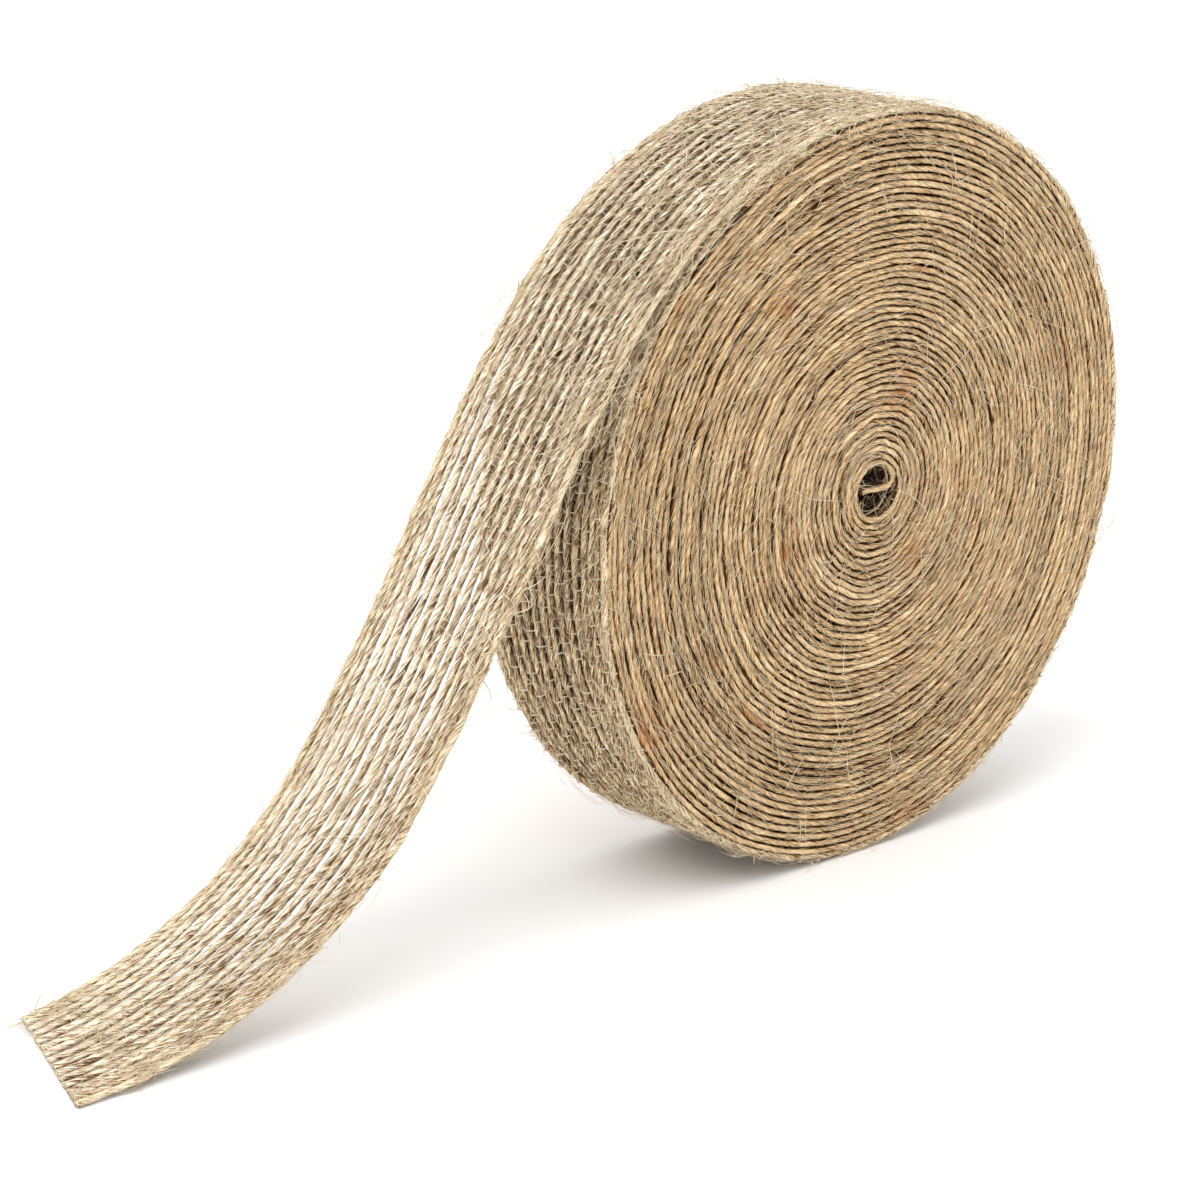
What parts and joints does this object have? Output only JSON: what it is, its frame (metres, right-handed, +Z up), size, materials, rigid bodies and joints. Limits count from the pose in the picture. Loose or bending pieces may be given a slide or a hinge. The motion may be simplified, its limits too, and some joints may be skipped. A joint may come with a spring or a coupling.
{
  "type": "roll of jute ribbon",
  "caption": "Coreless roll of open-weave jute ribbon standing on its rim, its free tail run out to the floor, with warp and weft yarns as separate solids.",
  "frame": {"origin": "centre of the base of the whole object, on the surface it stands on, under the gap between the roll and the tail's end", "axes": "+Z up, +Y along the roll's axis towards its back face, the tail runs out towards -X"},
  "size_m": [0.306, 0.038, 0.1719],
  "materials": {
    "jute_warp": "matte",
    "jute_selvedge": "matte",
    "weft_thread": "matte"
  },
  "bodies": {
    "outer_turn": {"outer_turn_selvedge_front": "jute_selvedge", "outer_turn_selvedge_back": "jute_selvedge", "outer_turn_warp": "jute_warp", "outer_turn_weft": "weft_thread", "tail_1_warp": "jute_warp", "tail_1_selvedges": "jute_selvedge", "tail_1_weft": "weft_thread"},
    "roll": {"roll_selvedge_front": "jute_selvedge", "roll_warp_01": "jute_warp", "roll_warp_02": "jute_warp", "roll_warp_03": "jute_warp", "roll_warp_04": "jute_warp", "roll_warp_05": "jute_warp", "roll_warp_06": "jute_warp", "roll_warp_07": "jute_warp", "roll_warp_08": "jute_warp", "roll_warp_09": "jute_warp", "roll_warp_10": "jute_warp", "roll_warp_11": "jute_warp", "roll_warp_12": "jute_warp", "roll_warp_13": "jute_warp", "roll_warp_14": "jute_warp", "roll_selvedge_back": "jute_selvedge"},
    "tail_2": {"tail_2_warp": "jute_warp", "tail_2_selvedges": "jute_selvedge", "tail_2_weft": "weft_thread"},
    "tail_3": {"tail_3_warp": "jute_warp", "tail_3_selvedges": "jute_selvedge", "tail_3_weft": "weft_thread"},
    "tail_4": {"tail_4_warp": "jute_warp", "tail_4_selvedges": "jute_selvedge", "tail_4_weft": "weft_thread"},
    "tail_5": {"tail_5_warp": "jute_warp", "tail_5_selvedges": "jute_selvedge", "tail_5_weft": "weft_thread"}
  },
  "joints": [
    {"name": "roll_spin", "type": "hinge", "parent": "outer_turn", "child": "roll", "pos_m": [0.06732, 0, 0.0857], "axis": [0, -1, 0], "continuous": true},
    {"name": "tail_flex_1", "type": "hinge", "parent": "outer_turn", "child": "tail_2", "pos_m": [-0.01094, 0, 0.13039], "axis": [0, 1, 0], "range_deg": [-10, 20]},
    {"name": "tail_flex_2", "type": "hinge", "parent": "tail_2", "child": "tail_3", "pos_m": [-0.03816, 0, 0.08742], "axis": [0, 1, 0], "range_deg": [-20, 25]},
    {"name": "tail_flex_3", "type": "hinge", "parent": "tail_3", "child": "tail_4", "pos_m": [-0.06523, 0, 0.04435], "axis": [0, 1, 0], "range_deg": [-25, 30]},
    {"name": "tail_flex_4", "type": "hinge", "parent": "tail_4", "child": "tail_5", "pos_m": [-0.10382, 0, 0.01197], "axis": [0, 1, 0], "range_deg": [-25, 35]}
  ]
}
